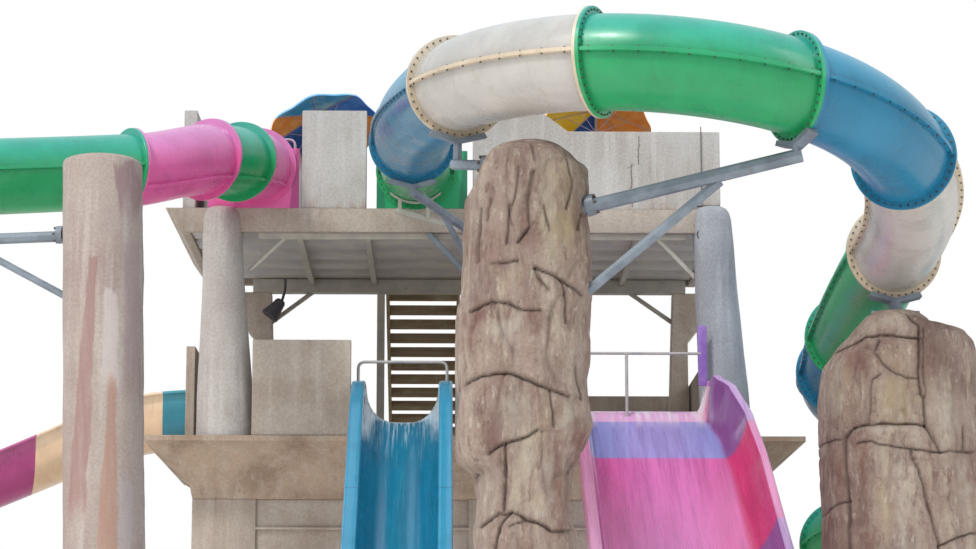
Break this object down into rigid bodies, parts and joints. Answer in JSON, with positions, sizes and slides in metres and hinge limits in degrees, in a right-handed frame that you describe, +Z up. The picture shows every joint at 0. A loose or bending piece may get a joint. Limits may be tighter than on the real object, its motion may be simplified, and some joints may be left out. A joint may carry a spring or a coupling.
{
  "type": "water slide tower",
  "caption": "Concrete slide tower with two decks, enclosed tube slides winding down from the top, an open flume, open slides and rock-faced pillars.",
  "frame": {"origin": "on the ground under the middle of the tower's base", "axes": "+Z up, +X to the right of the front seen from outside, -Y out of the front"},
  "size_m": [23.119, 25.05, 13.54],
  "materials": {
    "concrete": "weathered rendered concrete",
    "pale_concrete": "pale rendered concrete with streaks",
    "rock": "carved rock-look render",
    "painted_render": "painted render with brown stains",
    "steel": "satin grey paint",
    "decking": "dull profiled sheet",
    "tread": "weathered boards",
    "green_shell": "gloss",
    "blue_shell": "gloss",
    "white_shell": "gloss",
    "pink_shell": "gloss",
    "teal_shell": "gloss",
    "cream_shell": "faded gloss",
    "magenta_shell": "faded gloss",
    "purple_board": "satin paint",
    "dark_plastic": "matte",
    "blue_canopy": "woven",
    "orange_canopy": "woven",
    "pole": "satin white paint"
  },
  "bodies": {
    "root": {"base_front_wall": "concrete", "base_side_walls": "concrete", "lower_deck": "concrete", "column_front_left": "concrete", "column_front_right": "concrete", "column_rear_left": "concrete", "column_rear_right": "concrete", "lower_front_parapet": "concrete", "lower_middle_parapet": "concrete", "lower_rear_parapet": "concrete", "upper_deck": "concrete", "upper_left_panel": "pale_concrete", "upper_right_parapet": "pale_concrete", "upper_left_parapet": "pale_concrete", "upper_side_parapet": "pale_concrete", "soffit_decking": "decking", "deck_steelwork": "steel", "stair_flight": "tread", "loudspeaker": "dark_plastic", "umbrella_canopy_left": "blue_canopy", "umbrella_canopy_right": "orange_canopy", "umbrella_pole_left": "pole", "umbrella_pole_right": "pole", "tube_a_tub": "pink_shell", "tube_a_throat": "pink_shell", "tube_a_collar": "green_shell", "tube_a_bend": "pink_shell", "tube_a_run": "green_shell", "tube_a_end": "pink_shell", "tube_b_tub": "green_shell", "tube_b_throat": "green_shell", "tube_b_run": "blue_shell", "tube_b_loop_start": "white_shell", "tube_b_loop_top": "green_shell", "tube_b_loop_end": "blue_shell", "tube_b_return": "white_shell", "tube_b_fall": "green_shell", "tube_b_spiral_1": "blue_shell", "tube_b_spiral_2": "green_shell", "tube_b_spiral_3": "white_shell", "tube_b_spiral_4": "blue_shell", "tube_b_spiral_5": "green_shell", "spiral_exit": "blue_shell", "spiral_mast": "steel", "flume_start": "teal_shell", "flume_middle": "cream_shell", "flume_end": "magenta_shell", "flume_support": "steel", "blue_slide": "teal_shell", "blue_slide_handrail": "steel", "pink_slide": "pink_shell", "pink_slide_start_bar": "purple_board", "rock_pillar_centre": "rock", "rock_pillar_right": "rock", "painted_column": "painted_render", "arm_loop_start": "steel", "arm_loop_end": "steel", "arm_return": "steel", "arm_tube_a": "steel", "arm_tower": "steel"}
  },
  "joints": []
}
